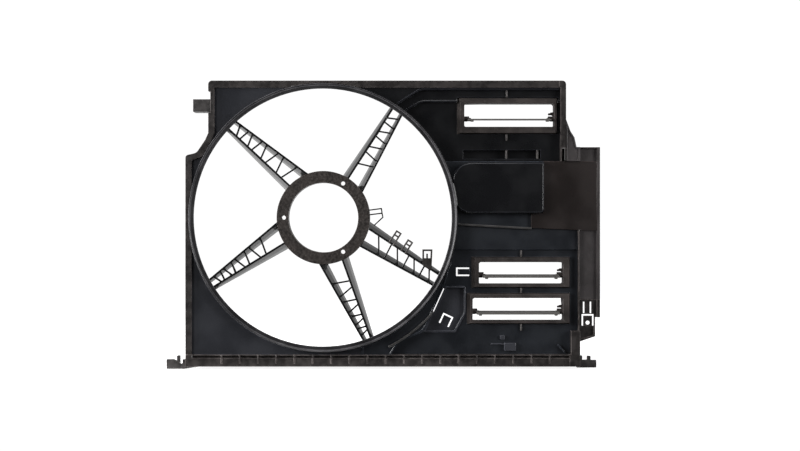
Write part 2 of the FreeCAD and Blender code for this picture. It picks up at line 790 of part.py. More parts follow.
# ---- wing and latch bracket ----
def side_wing():
    """Narrow plate outside the tray, rimmed along its outer edge and top."""
    inner = wing_x - wing_rim
    plate = block(right_x, wing_x, mid_y, mid_y + wall, bracket_top_z, wing_top_z)
    rim = block(inner, wing_x, side_y, mid_y, bracket_top_z, wing_top_z)
    top = block(right_x, inner, side_y, mid_y, wing_top_z - rib, wing_top_z)
    return joined([plate, rim, top]).cut(through(side))


def latch_bracket():
    """Foot of the wing, with a cut-out for its snap tongue and two slots that let the plate flex."""
    foot_z = bracket_low_z + bracket_slope
    low_x = right_x + bead
    slope = [(bracket_side_x, foot_z), (low_x, bracket_low_z), (right_x, bracket_low_z)]
    corners = [(right_x, bracket_top_z), (wing_x, bracket_top_z), (wing_x, wing_bottom_z),
               (bracket_side_x, wing_bottom_z), *slope]
    plate = slab(corners, mid_y, mid_y + wall)
    rim = block(wing_x - wing_rim, wing_x, side_y, mid_y, wing_bottom_z, bracket_top_z)
    foot = slab(slope + [(right_x, bracket_low_z + wall), (bracket_side_x, foot_z + wall)], side_y, mid_y)
    edge = block(bracket_side_x - rib, bracket_side_x, side_y, mid_y, foot_z, wing_bottom_z)
    body = joined([plate, rim, foot, edge]).cut(tongue_hole("snap_tongue_right"))
    for shift in latch_slots:
        x = tongue_root("snap_tongue_right")[0] + shift
        body = body.cut(through(rectangle(
            x - slot / 2, x + slot / 2, latch_slot_z, latch_slot_z + latch_slot_length)))
    return body


def latch_tongue():
    x, z = tongue_root("snap_tongue_right")
    hole = disc(latch_hole_r, -reach, reach, x, z + latch_hole_up)
    return tongue("snap_tongue_right", mid_y).cut(hole)


# ---- flap windows and flaps ----
def window_shell(name):
    """Raised surround with sloping sides and a tunnel through it."""
    x, width, z, height, _ = window(name)
    x0, x1, z0, z1 = surround(name)
    t = surround_wall

    def foot(inset):
        return rectangle(x0 + inset, x1 - inset, z0 + inset, z1 - inset)

    def face(inset):
        return rectangle(x0 + draft_left + inset, x1 - draft - inset, z0 + draft + inset, z1 - draft - inset)

    body = frustum(foot(0), deck_y, face(0), frame_y).fuse(slab(foot(0), deck_y, deck_y + wall))
    hollow = frustum(foot(t), deck_y, face(t), frame_y + t).fuse(slab(foot(t), deck_y, deck_y + wall))
    tunnel = slab(rectangle(x - t, x + width + t, z - t, z + height + t), frame_y, tunnel_back_y)
    return body.cut(hollow).fuse(tunnel).cut(through(rectangle(x, x + width, z, z + height)))


def window_frame(name):
    """Surround with a bearing for each flap pin, a shelf for the open flap and a lug for the closed one."""
    x, width, _, _, hinge_z = window(name)
    root = surround_wall / 2
    shelf_z = hinge_z + math.sin(math.radians(flap_droop)) * shelf_back + flap_thickness / 2 + gap
    parts = [window_shell(name)]
    holes = []
    for end, inward in ((x, 1), (x + width, -1)):
        face = end + inward * bearing_length
        over = face + inward * (gap + stop_width)
        parts.append(block(end - inward * root, face, hinge_y - bearing_half, hinge_y + bearing_half,
                           hinge_z - bearing_half, hinge_z + bearing_half))
        parts.append(block(end - inward * root, over, hinge_y + shelf_back - shelf_depth,
                           hinge_y + shelf_back, shelf_z, shelf_z + stop_height))
        holes.append(rod(pin_r + pin_gap, end - inward * root, face, hinge_y, hinge_z))
    lug_y = hinge_y + flap_thickness / 2 + gap
    lug_z = hinge_z + closed_stop_z - stop_height / 2
    parts.append(block(over, x + width + root, lug_y, lug_y + shelf_depth, lug_z, lug_z + stop_height))
    body = joined(parts)
    for hole in holes:
        body = body.cut(hole)
    return body


def flap(name):
    """Thin plate on two pins, long side to the engine, drooping a little when open."""
    x, width, z, height, hinge_z = window(name)
    hinge_up = hinge_z - z
    x0 = x + bearing_length + gap
    x1 = x + width - bearing_length - gap
    long_side = height - hinge_up - flap_clearance
    short_side = hinge_up - flap_clearance
    half = flap_thickness / 2
    tip = flap_tip / 2
    profile = [V(x0, -long_side, -tip), V(x0, 0, -half), V(x0, short_side, -tip),
               V(x0, short_side, tip), V(x0, 0, half), V(x0, -long_side, tip)]
    parts = [Part.Face(Part.makePolygon(profile + profile[:1])).extrude(V(x1 - x0, 0, 0))]
    for end, inward in ((x0, 1), (x1, -1)):
        root = end + inward * ear_length
        ear = [V(end, y * bearing_half, z * bearing_half) for y, z in ear_profile]
        parts.append(Part.Face(Part.makePolygon(ear + ear[:1])).extrude(V(root - end, 0, 0)))
        bottom = end - inward * (gap + bearing_length + surround_wall / 2 - pin_end_gap)
        parts.append(rod(pin_r, bottom, root, 0, 0))
    body = joined(parts)
    body.rotate(V(0, 0, 0), V(1, 0, 0), flap_droop)
    body.translate(V(0, hinge_y, hinge_z))
    return body


# ---- ribs, nubs and the connector seat ----
def arc_ridge():
    """Low ridge concentric with the fan ring, across the lower right panel."""
    outer = arc_ridge_r + rib
    ring = spun([(arc_ridge_r, panel_y - ridge_height), (outer, panel_y - ridge_height),
                 (outer, panel_y), (arc_ridge_r, panel_y)])
    sector = through([(0, 0), *[polar(reach, angle) for angle in arc_ridge_angles]])
    return ring.common(sector).common(through(ring_side)).cut(nodes["lower_right_panel"])


def nub(x, z0, z1, height, y_foot):
    return block(x - rib / 2, x + rib / 2, y_foot - height, y_foot, z0, z1)


def stiffening_nubs():
    """Short ribs that tie the window surrounds to what lies above and below them."""
    upper, middle, lower = (surround(name) for name in windows)
    trough_low, trough_high = trough_z + wall, trough_z + trough[3] - wall
    trough_nub_height = trough_y - deck_y - trough_nub_setback
    low_x = nub_x + nub_shift
    return Part.makeCompound([
        nub(nub_x, upper[3], top_z + ledge_corner[1], nub_height_step, step_y),
        nub(nub_x, upper[2] - nub_length, upper[2], nub_height, deck_y),
        nub(low_x, middle[3], middle[3] + nub_length, nub_height, deck_y),
        nub(low_x, lower[3], middle[2], nub_height, deck_y),
        nub(low_x, lower[2] - nub_length, lower[2], nub_height, deck_y),
        nub(nub_x, trough_low, trough_high, trough_nub_height, trough_y),
        nub(trough_nub_x, trough_low, trough_high, trough_nub_height, trough_y),
    ])


def connector_seat():
    """Block and bump that a wiring connector clips on, tied by a low rib."""
    return joined([block(ring_r + x0, ring_r + x1, deck_y - height, deck_y, bottom_z + z0, bottom_z + z1)
                   for x0, x1, z0, z1, height in connector_blocks])


# ---- feet and top tab ----
def foot(corners, x):
    return slab(shifted(corners, x, bottom_z), hub_y, hub_y + foot_depth)


def upper_left_tab():
    """Hollow tab on the outer wall, open to the radiator."""
    corners = rectangle(upper_left_x - tab_width, upper_left_x + upper_left_notch[1][0],
                        tab_bottom_z, tab_bottom_z + tab_height)
    return slab(corners, panel_y, tab_back_y).cut(inset_slab(corners, wall, panel_y + wall, tab_back_y))


# ---- cable guides ----
def guide(points, near):
    return strip(points, guide_bar, near, near + guide_depth)


def hub_cable_bracket():
    """Open hook beside the motor ring that holds the fan's lead."""
    near = hub_y - guide_bar
    body = joined([guide(shifted(points, motor_ring_r, 0), near) for points in (hub_guide, hub_guide_bar)])
    body = body.cut(disc(motor_ring_r, -reach, reach)).cut(nodes["strut_lower_right"])
    return largest(body)


def guide_place(t):
    """Point on the outer vane's near edge, and its directions along and away from the strut."""
    _, hub_2, _, rim_2 = struts["strut_lower_right"]
    start, end, along, side = vane_line(hub_2, rim_2)
    return start + (end - start) * t, along, side


def cable_loop(t, height):
    """Upright frame with a rung, standing on the strut."""
    middle, along, side = guide_place(t)
    near = vane_near_y(t) - rib / 2

    def corner(a, b):
        point = middle + along * (a * loop_width / 2) + side * b
        return point.x, point.y

    frame = guide([corner(-1, 0), corner(-1, height), corner(1, height), corner(1, 0)], near)
    rung = strip([corner(-1, height - loop_rung), corner(1, height - loop_rung)], guide_bar,
                 near, near + rung_depth)
    return largest(joined([frame, rung]).cut(nodes["strut_lower_right"]))


def cable_clip():
    """Open frame round a springy tongue, on a solid base."""
    place = guide_place(clip_place)[0]
    near = vane_near_y(clip_place) - rib
    base = slab(shifted(clip_base, place.x, place.y), near, near + guide_depth)
    parts = [guide(shifted(points, place.x, place.y), near) for points in (clip_frame, clip_tongue)]
    return largest(joined(parts + [base]).cut(nodes["strut_lower_right"]))


nodes = {"fan_ring": fan_ring(), "motor_ring": motor_ring()}
for name, angles in struts.items():
    hub_1, hub_2, rim_1, rim_2 = angles
    nodes[name] = strut(hub_1, hub_2, rim_1, rim_2)
nodes.update(rails())
nodes.update(panels())
nodes["duct_cover"] = duct_cover()
nodes["side_panel"] = plateau(side, side_y, mid_y - wall, 0)
nodes["deck_ridge"] = deck_ridge()
nodes["side_wing"] = side_wing()
nodes["latch_bracket"] = latch_bracket()
nodes["snap_tongue_right"] = latch_tongue()
for name in windows:
    nodes[f"window_frame_{name}"] = window_frame(name)
    nodes[f"flap_{name}"] = flap(name)
nodes["arc_ridge"] = arc_ridge()
nodes["stiffening_nubs"] = stiffening_nubs()
nodes["connector_seat"] = connector_seat()
nodes["corner_brace"] = strip(shifted(brace, right_x, bottom_z), rib, deck_y - brace_height, deck_y)
nodes["left_foot"] = foot(left_foot_corners, left_x)
nodes["right_foot"] = foot(right_foot_corners, right_x)
nodes["upper_left_tab"] = upper_left_tab()
nodes["hub_cable_bracket"] = hub_cable_bracket()
for name, (place, height) in loops.items():
    nodes[name] = cable_loop(place, height)
nodes["cable_clip"] = cable_clip()

for name, shape in nodes.items():
    shape.exportStep(f"parts/{name}.step")
    print(f"{name:22s} valid {shape.isValid()} solids {len(shape.Solids)} {shape.Volume / 1000:8.2f} cm3")
print("total", round(sum(shape.Volume for shape in nodes.values()) / 1000, 1), "cm3")
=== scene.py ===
import json
import math

import bmesh
import bpy
from mathutils import Matrix, Vector
from mathutils.geometry import area_tri


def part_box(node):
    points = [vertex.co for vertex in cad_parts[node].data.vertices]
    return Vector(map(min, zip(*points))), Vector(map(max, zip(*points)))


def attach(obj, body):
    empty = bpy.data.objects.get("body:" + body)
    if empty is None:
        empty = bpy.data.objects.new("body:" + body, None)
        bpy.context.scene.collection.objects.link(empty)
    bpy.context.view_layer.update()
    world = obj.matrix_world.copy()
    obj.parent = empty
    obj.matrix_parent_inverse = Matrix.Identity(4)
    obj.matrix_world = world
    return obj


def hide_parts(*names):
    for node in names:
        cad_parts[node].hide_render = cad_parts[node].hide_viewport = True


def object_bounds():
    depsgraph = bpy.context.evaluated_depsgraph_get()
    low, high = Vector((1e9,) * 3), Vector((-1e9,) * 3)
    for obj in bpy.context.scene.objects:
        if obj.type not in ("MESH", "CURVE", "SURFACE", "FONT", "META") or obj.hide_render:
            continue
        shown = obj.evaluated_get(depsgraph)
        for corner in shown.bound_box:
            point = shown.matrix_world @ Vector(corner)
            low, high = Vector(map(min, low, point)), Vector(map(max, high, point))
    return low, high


# Radiator fan shroud: one black moulding, dressed node by node, and three ram-air flaps.
# The scene is in metres, +X to the flap side, +Y to the radiator, +Z up. Lengths in the settings
# of the part are in mm, those of the stage in metres where no note says otherwise.

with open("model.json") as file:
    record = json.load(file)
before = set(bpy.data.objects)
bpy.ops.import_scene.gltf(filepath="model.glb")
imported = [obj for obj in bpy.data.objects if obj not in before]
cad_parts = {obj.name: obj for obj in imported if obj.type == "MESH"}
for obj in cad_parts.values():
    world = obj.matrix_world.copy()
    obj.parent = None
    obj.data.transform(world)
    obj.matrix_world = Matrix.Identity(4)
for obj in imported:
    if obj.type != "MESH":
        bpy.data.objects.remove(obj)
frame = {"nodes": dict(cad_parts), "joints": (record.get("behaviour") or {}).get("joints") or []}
cadBox = [list(corner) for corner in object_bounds()]
nodes = frame["nodes"]
mm = 0.001


class Field:
    # a value that changes over a surface; arithmetic on it adds Math nodes
    def __init__(self, shader, socket):
        self.shader, self.socket = shader, socket

    def math(self, operation, *values):
        return self.shader.add("ShaderNodeMath", {"operation": operation}, dict(enumerate(values)))

    def __add__(self, other):
        return self.math("ADD", self, other)

    def __radd__(self, other):
        return self.math("ADD", other, self)

    def __sub__(self, other):
        return self.math("SUBTRACT", self, other)

    def __rsub__(self, other):
        return self.math("SUBTRACT", other, self)

    def __mul__(self, other):
        return self.math("MULTIPLY", self, other)

    def __rmul__(self, other):
        return self.math("MULTIPLY", other, self)

    def clamped(self):
        return self.shader.add("ShaderNodeClamp", {}, {0: self})


class Shader:
    # the nodes of one material, or of the studio round the object
    def __init__(self, owner, coordinates="Object"):
        owner.use_nodes = True
        self.tree = owner.node_tree
        self.place = self.add("ShaderNodeTexCoord", {}, {}, coordinates)

    def add(self, kind, settings, inputs, output=0):
        node = self.tree.nodes.new(kind)
        for key, value in settings.items():
            setattr(node, key, value)
        for key, value in inputs.items():
            self.feed(node.inputs[key], value)
        return Field(self, node.outputs[output])

    def feed(self, socket, value):
        if isinstance(value, Field):
            self.tree.links.new(value.socket, socket)
        elif socket.type == "RGBA":
            socket.default_value = (*value, 1.0)
        else:
            socket.default_value = value

    def noise(self, size, detail, roughness=0.55, stretch=None):
        place = self.place
        if stretch:
            place = self.add("ShaderNodeMapping", {}, {"Vector": place, "Scale": stretch})
        return self.add("ShaderNodeTexNoise", {}, {
            "Vector": place, "Scale": 1 / size, "Detail": detail, "Roughness": roughness})

    def ramp(self, value, low, high, first=0.0, last=1.0, course="SMOOTHSTEP"):
        return self.add("ShaderNodeMapRange", {"interpolation_type": course}, {
            "Value": value, "From Min": low, "From Max": high, "To Min": first, "To Max": last})

    def mix(self, factor, colour1, colour2):      # 6, 7 and output 2 are the node's colours
        return self.add("ShaderNodeMix", {"data_type": "RGBA"}, {0: factor, 6: colour1, 7: colour2}, 2)

    def bump(self, height, distance, strength):
        return self.add("ShaderNodeBump", {}, {
            "Height": height, "Distance": distance, "Strength": strength})


def surfaceMaterial(name, makeSockets):
    # a material whose Principled shader takes the sockets' values or fields that the function gives
    material = bpy.data.materials.new(name)
    shader = Shader(material)
    for socket, value in makeSockets(shader).items():
        shader.feed(shader.tree.nodes["Principled BSDF"].inputs[socket], value)
    return material


# Glass-filled nylon in the finishes that the mould leaves: dark and light colour, size of the cloudy
# flow marks in mm, how much paler the radii are painted (a painted highlight along the edges), size and
# depth of the spark-eroded grain in mm, roughness where smooth and where hazy, share of pale fibre flecks,
# and specular level if not nylon's; the pocket, wing and nub colours are painted light, as noted at them
finishes = {
    "panel": {"dark": (0.0150, 0.0160, 0.0200), "light": (0.0290, 0.0305, 0.0370), "cloud": 60, "edge": 4.0,
              "grain": 0.8, "depth": 0.03, "smooth": 0.30, "hazy": 0.38, "flecks": 0.15},
    "gloss": {"dark": (0.0030, 0.0032, 0.0042), "light": (0.0075, 0.0078, 0.0092), "cloud": 50, "edge": 6.0,
              "grain": 0.8, "depth": 0.02, "smooth": 0.26, "hazy": 0.34, "flecks": 0.10},
    "deck": {"dark": (0.0110, 0.0125, 0.0160), "light": (0.0220, 0.0250, 0.0310), "cloud": 45, "edge": 4.0,
             "grain": 0.8, "depth": 0.03, "smooth": 0.28, "hazy": 0.38, "flecks": 0.15},
    # the panel's colours made 1.9 times paler: painted light that lifts the shade in the pocket's recess
    "pocket": {"dark": (0.0290, 0.0305, 0.0370), "light": (0.0500, 0.0520, 0.0620), "cloud": 40, "edge": 2.5,
               "grain": 0.8, "depth": 0.03, "smooth": 0.30, "hazy": 0.38, "flecks": 0.15},
    # paler colours for the wing and the gusset: painted light that lifts the shade the rim casts on them
    "wing": {"dark": (0.0345, 0.0301, 0.0305), "light": (0.0598, 0.0523, 0.0529), "cloud": 30, "edge": 1.0,
             "grain": 1.2, "depth": 0.05, "smooth": 0.42, "hazy": 0.55, "flecks": 0.30},
    "side": {"dark": (0.0110, 0.0082, 0.0076), "light": (0.0210, 0.0155, 0.0145), "cloud": 50, "edge": 3.0,
             "grain": 0.8, "depth": 0.03, "smooth": 0.30, "hazy": 0.40, "flecks": 0.15},
    "rail": {"dark": (0.0112, 0.0095, 0.0092), "light": (0.0364, 0.0315, 0.0301), "cloud": 9, "edge": 4.0,
             "grain": 1.4, "depth": 0.06, "smooth": 0.44, "hazy": 0.60, "flecks": 0.45, "sheen": 0.3},
    "foot": {"dark": (0.0172, 0.0155, 0.0153), "light": (0.0425, 0.0377, 0.0368), "cloud": 7, "edge": 2.6,
             "grain": 1.4, "depth": 0.06, "smooth": 0.44, "hazy": 0.60, "flecks": 0.45},
    "frame": {"dark": (0.0304, 0.0266, 0.0255), "light": (0.0684, 0.0589, 0.0560), "cloud": 22, "edge": 1.5,
              "grain": 1.0, "depth": 0.04, "smooth": 0.62, "hazy": 0.78, "flecks": 0.30, "sheen": 0.1},
    "ring": {"dark": (0.0112, 0.0110, 0.0121), "light": (0.0291, 0.0282, 0.0302), "cloud": 30, "edge": 4.5,
             "grain": 0.9, "depth": 0.03, "smooth": 0.30, "hazy": 0.40, "flecks": 0.20},
    "hub": {"dark": (0.0150, 0.0123, 0.0110), "light": (0.0475, 0.0394, 0.0356), "cloud": 4, "edge": 2.6,
            "grain": 1.3, "depth": 0.06, "smooth": 0.38, "hazy": 0.55, "flecks": 0.60},
    "strut": {"dark": (0.0060, 0.0062, 0.0064), "light": (0.0130, 0.0132, 0.0136), "cloud": 26, "edge": 1.2,
              "grain": 0.8, "depth": 0.01, "smooth": 0.12, "hazy": 0.22, "flecks": 0.10},
    "ridge": {"dark": (0.0300, 0.0290, 0.0290), "light": (0.0560, 0.0540, 0.0540), "cloud": 18, "edge": 1.8,
              "grain": 1.0, "depth": 0.04, "smooth": 0.40, "hazy": 0.55, "flecks": 0.30},
    # the pale colour of the nubs and cable loops is a painted highlight on their rounded tops
    "nub": {"dark": (0.0500, 0.0450, 0.0440), "light": (0.0900, 0.0820, 0.0800), "cloud": 12, "edge": 1.6,
            "grain": 1.0, "depth": 0.04, "smooth": 0.40, "hazy": 0.55, "flecks": 0.30},
    "clip": {"dark": (0.0120, 0.0105, 0.0095), "light": (0.0300, 0.0260, 0.0240), "cloud": 12, "edge": 1.6,
             "grain": 1.0, "depth": 0.04, "smooth": 0.40, "hazy": 0.55, "flecks": 0.30},
    "flap": {"dark": (0.1250, 0.1190, 0.1130), "light": (0.1650, 0.1575, 0.1490), "cloud": 24, "edge": 0.8,
             "grain": 0.7, "depth": 0.03, "smooth": 0.62, "hazy": 0.80, "flecks": 0.30, "sheen": 0.1},
}
nylon = {
    "cloudStep": (0.36, 0.66), "broadStep": (0.32, 0.68), "fleckStep": (0.62, 0.76),
    "broadSize": 4,                             # size of the broad marks, per cloudy mark
    "cloudShare": 0.55, "broadShare": 0.45, "grainShare": 0.5,
    "fibre": 1.1, "fibreStretch": (1.0, 1.0, 0.28), "fleckTone": 2.4, "fleckHeight": 0.4,
    "bump": 0.5, "sheen": 0.5,
    "edgePolish": 0.08,                         # the radii are this much less rough
}


def brighter(colour, times):
    return tuple(min(1.0, times * channel) for channel in colour)


def mouldedNylon(name, edge=False):
    style = finishes[name]
    dark, light, cloudSize = style["dark"], style["light"], style["cloud"] * mm
    # the radii's colours made paler: a painted highlight along the edges
    if edge:
        dark, light = brighter(dark, style["edge"]), brighter(light, style["edge"])

    def sockets(shader):
        cloud = shader.ramp(shader.noise(cloudSize, detail=4.0), *nylon["cloudStep"])
        broad = shader.ramp(shader.noise(nylon["broadSize"] * cloudSize, detail=2.0), *nylon["broadStep"])
        grain = shader.noise(style["grain"] * mm, detail=2.0, roughness=0.6)
        fibre = shader.noise(nylon["fibre"] * mm, detail=1.0, roughness=0.5, stretch=nylon["fibreStretch"])
        fleck = shader.ramp(fibre, *nylon["fleckStep"]) * style["flecks"]
        amount = (cloud * nylon["cloudShare"] + broad * nylon["broadShare"]
                  + (grain - 0.5) * nylon["grainShare"]).clamped()
        rough = style["smooth"] + (style["hazy"] - style["smooth"]) * cloud
        return {
            "Base Color": shader.mix(fleck, shader.mix(amount, dark, light),
                                     brighter(light, nylon["fleckTone"])),
            "Roughness": rough - nylon["edgePolish"] if edge else rough,
            "Normal": shader.bump(grain + fleck * nylon["fleckHeight"], style["depth"] * mm,
                                  nylon["bump"]),
            "Specular IOR Level": style.get("sheen", nylon["sheen"]),
        }

    return surfaceMaterial(name + ("Edge" if edge else "Nylon"), sockets)


materials = {name: mouldedNylon(name) for name in finishes}
# the paler variants for the radii: painted highlights along the edges
paintedHighlightMaterials = {name: mouldedNylon(name, True) for name in finishes}
print("materials:", len(materials), "finishes")

# how the solids' meshes are cleaned and given radii: lengths in mm, angles in degrees
meshing = {
    "weld": 0.002, "finalWeld": 0.001,          # vertices closer than this are one
    "flat": 0.4,                                # faces within this angle are one
    "smooth": 25, "sharp": 28,                  # edges shaded smooth, and edges given a radius
    "segments": 2, "cornerSegments": 5,
    "windowDepth": 15, "straight": 0.999,       # a window's corner is longer than this, and along Y
    "tries": (1.0, 0.6, 0.4),                   # shares of the radius, until no face folds over
    "foldLimit": 0.004,                         # a folded face draws this much more than its own area
}


def meshPiece(name, mesh, finish, body):
    bmesh.ops.remove_doubles(mesh, verts=mesh.verts, dist=meshing["finalWeld"] * mm)
    smooth = math.radians(meshing["smooth"])
    for face in mesh.faces:
        face.smooth = True
    for edge in mesh.edges:      # a flat face and the radius beside it don't shade into each other
        edge.smooth = (edge.is_manifold and edge.calc_face_angle() < smooth
                       and edge.link_faces[0].material_index == edge.link_faces[1].material_index)
    data = bpy.data.meshes.new(name)
    mesh.to_mesh(data)
    mesh.free()
    data.materials.append(materials[finish])
    data.materials.append(paintedHighlightMaterials[finish])
    piece = bpy.data.objects.new(name, data)
    bpy.context.scene.collection.objects.link(piece)
    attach(piece, body)
    return piece


def bevel(mesh, edges, size, segments):
    return bmesh.ops.bevel(mesh, geom=edges, offset=size * mm, offset_type="OFFSET", affect="EDGES",
                           segments=segments, profile=0.5, material=-1)["faces"]


def softenEdges(mesh, size):
    # a radius on every sharp edge, in the finish's paler variant, which is a painted highlight along the
    # edge
    sharp = math.radians(meshing["sharp"])
    edges = [edge for edge in mesh.edges if edge.is_manifold and edge.calc_face_angle() > sharp]
    for face in bevel(mesh, edges, size, meshing["segments"]):
        face.material_index = 1


def foldedShare(mesh):
    drawn = 0
    for triangle in mesh.calc_loop_triangles():
        drawn += area_tri(*(corner.vert.co for corner in triangle))
    return drawn / sum(face.calc_area() for face in mesh.faces) - 1


def roundWindow(mesh, radius):
    # the four long inside corners of a window
    corners = []
    for edge in mesh.edges:
        run = edge.verts[1].co - edge.verts[0].co
        depth = abs(run.y)
        long = depth > meshing["windowDepth"] * mm and depth > meshing["straight"] * run.length
        if long and edge.is_manifold and not edge.is_convex:
            corners.append(edge)
    bevel(mesh, corners, radius, meshing["cornerSegments"])
    return len(corners)


def dressedCopy(name, finish, body, edge, corner=0, swell=0):
    # the node's own shape with its mould radii, standing in for it; a radius that is too big for
    # the node's small steps gives way to a smaller one
    for share in meshing["tries"]:
        size = edge * share
        mesh = bmesh.new()
        mesh.from_mesh(nodes[name].data)
        bmesh.ops.remove_doubles(mesh, verts=mesh.verts, dist=meshing["weld"] * mm)
        bmesh.ops.dissolve_limit(mesh, angle_limit=math.radians(meshing["flat"]), verts=mesh.verts,
                                 edges=mesh.edges)
        if corner:
            print("  window corners:", roundWindow(mesh, corner))
        bmesh.ops.connect_verts_concave(mesh, faces=mesh.faces)
        softenEdges(mesh, size)
        for vert in mesh.verts:
            vert.co += vert.normal * swell * mm
        folded = foldedShare(mesh)
        if folded < meshing["foldLimit"]:
            break
    print(f"  {name}: edge {size:.2f} mm, {len(mesh.faces)} faces, folded {folded:.4f}")
    piece = meshPiece("dressed_" + name, mesh, finish, body)
    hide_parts(name)
    return piece


# edge: radius of the sharp edges, corner: of a window's corners, swell: growth all round, in mm
dressing = {
    "ring": {"nodes": ["fan_ring"], "edge": 0.8},
    "hub": {"nodes": ["motor_ring"], "edge": 0.5},
    "strut": {"nodes": ["strut_upper_left", "strut_upper_right", "strut_lower_left", "strut_bottom",
                        "strut_lower_right", "hub_cable_bracket"], "edge": 0.3},
    "rail": {"nodes": ["top_rail", "left_rail", "bottom_rail", "right_rail", "lower_right_rail",
                       "latch_bracket", "snap_tongue_right", "right_wall"], "edge": 0.6},
    "ridge": {"nodes": ["deck_ridge", "arc_ridge"], "edge": 0.5, "swell": 0.7},
    "foot": {"nodes": ["left_foot", "right_foot", "upper_left_tab"], "edge": 0.5},
    "panel": {"nodes": ["upper_left_panel", "lower_left_panel"], "edge": 0.5},
    "pocket": {"nodes": ["pocket", "snap_tongue_pocket", "connector_seat"], "edge": 0.5},
    "gloss": {"nodes": ["upper_ledge", "upper_step", "duct_cover", "upper_flap_deck"], "edge": 0.5},
    "deck": {"nodes": ["duct_deck", "lower_flap_deck", "snap_tongue_left", "lower_right_panel",
                       "corner_brace"], "edge": 0.4},
    "side": {"nodes": ["side_panel"], "edge": 0.5},
    "wing": {"nodes": ["side_wing", "corner_gusset"], "edge": 0.5},
    "frame": {"nodes": ["window_frame_upper", "window_frame_middle", "window_frame_lower"], "edge": 0.6,
              "corner": 2.5},
    "nub": {"nodes": ["stiffening_nubs", "cable_loop_inner", "cable_loop_outer"], "edge": 0.5,
            "swell": 0.35},
    "clip": {"nodes": ["cable_clip"], "edge": 0.4, "swell": 0.35},
}
for finish, group in dressing.items():
    for name in group["nodes"]:
        dressedCopy(name, finish, "housing", group["edge"], corner=group.get("corner", 0),
                    swell=group.get("swell", 0))

# the flaps, and what the solids leave out at their windows, in mm from a flap's hinge and ends
flap = {
    "edge": 0.3,
    "pinReach": 6.2,                            # from a pin's end to the flap's own end
    "wallGap": 5.8,                             # from the flap's end to the window's wall
    "droop": 4.0,                               # the open flap's slope in degrees
    "tip": 0.55,                                # half the flap's thickness at its long edge
}
for joint in frame["joints"]:
    name = joint["child"].replace("ram_flap_", "")
    dressedCopy("flap_" + name, "flap", joint["child"], flap["edge"])
print("dressed nodes: done")


def taperedBlock(mesh, low, high, taper):
    # a block that narrows downwards, as the mould's draft leaves it
    low, high = Vector(low), Vector(high)
    made = bmesh.ops.create_cube(mesh, size=1.0)["verts"]
    bmesh.ops.scale(mesh, verts=made, vec=high - low)
    foot = [vert for vert in made if vert.co.z < 0]
    bmesh.ops.scale(mesh, verts=foot, vec=(taper, taper, 1.0))
    bmesh.ops.translate(mesh, verts=made, vec=(low + high) / 2)


def plate(outline, front, depth):
    # a plate from an outline of (x, z) corners
    mesh = bmesh.new()
    side = mesh.faces.new([mesh.verts.new((x, front, z)) for x, z in outline])
    made = bmesh.ops.extrude_face_region(mesh, geom=[side])["geom"]
    bmesh.ops.translate(mesh, verts=[item for item in made if isinstance(item, bmesh.types.BMVert)],
                        vec=(0, depth, 0))
    bmesh.ops.recalc_face_normals(mesh, faces=mesh.faces)
    return mesh


def toHinge(mesh, hinge):
    # from mm round the hinge to metres round the origin
    bmesh.ops.scale(mesh, verts=mesh.verts, vec=(mm, mm, mm))
    bmesh.ops.translate(mesh, verts=mesh.verts, vec=(0, hinge.y, hinge.z))


rim = {
    "height": 1.3, "depth": 1.6, "overlap": 0.3,
    "footWidth": 5.6, "footDepth": 5.0, "footHeight": 3.3, "footTaper": 0.8,
    "footInset": 3.2, "footSetback": 0.3, "footOverlap": 0.2,
    "edge": 0.4,
}


def flapRim(name, hinge, left, right, reach):
    # turned-down rim of the long edge and the two feet beside the flap's ends
    mesh = bmesh.new()
    under = -flap["tip"]
    taperedBlock(mesh, (left, -reach, under - rim["height"]),
                 (right, -reach + rim["depth"], under + rim["overlap"]), 1.0)
    front = -reach + rim["footSetback"]
    for x in (left + rim["footInset"], right - rim["footInset"] - rim["footWidth"]):
        taperedBlock(mesh, (x, front, under - rim["footHeight"]),
                     (x + rim["footWidth"], front + rim["footDepth"], under + rim["footOverlap"]),
                     rim["footTaper"])
    bmesh.ops.rotate(mesh, verts=mesh.verts, cent=(0, 0, 0),
                     matrix=Matrix.Rotation(math.radians(flap["droop"]), 3, "X"))
    toHinge(mesh, hinge)
    softenEdges(mesh, rim["edge"])
    meshPiece("flap_rim_" + name, mesh, "flap", "ram_flap_" + name)


hook = {      # catch for a link, on the window's right wall above the bearing
    "outline": [(0.6, 11.2), (-4.4, 10.8), (-8.2, 8.4), (-8.4, 6.6), (-3.0, 6.6), (0.6, 3.4)],
    "front": 1.3, "depth": 5.0,
    "edge": 0.4,
}


def flapHook(name, hinge, wall):
    mesh = plate([(wall + x, z) for x, z in hook["outline"]], hook["front"], hook["depth"])
    toHinge(mesh, hinge)
    softenEdges(mesh, hook["edge"])
    meshPiece("flap_hook_" + name, mesh, "frame", "housing")


for joint in frame["joints"]:
    name = joint["child"].replace("ram_flap_", "")
    hinge = Vector(joint["pos_m"])
    low, high = [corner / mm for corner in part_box("flap_" + name)]
    left, right = low.x + flap["pinReach"], high.x - flap["pinReach"]
    reach = (hinge.y / mm - low.y) / math.cos(math.radians(flap["droop"]))
    flapRim(name, hinge, left, right, reach)
    flapHook(name, hinge, right + flap["wallGap"])
print("flap rims and hooks: done")

# wall behind the step's plate, round the top and the upper right corner of the upper surround
collar = {"setback": 3.0, "short": 0.2, "wall": 1.6, "drop": 6.2, "overlap": 0.4, "edge": 0.3}


def closingWall(name, outline, front, depth, finish, edge):
    mesh = plate(outline, front, depth)
    bmesh.ops.scale(mesh, verts=mesh.verts, vec=(mm, mm, mm))
    softenEdges(mesh, edge)
    meshPiece(name, mesh, finish, "housing")


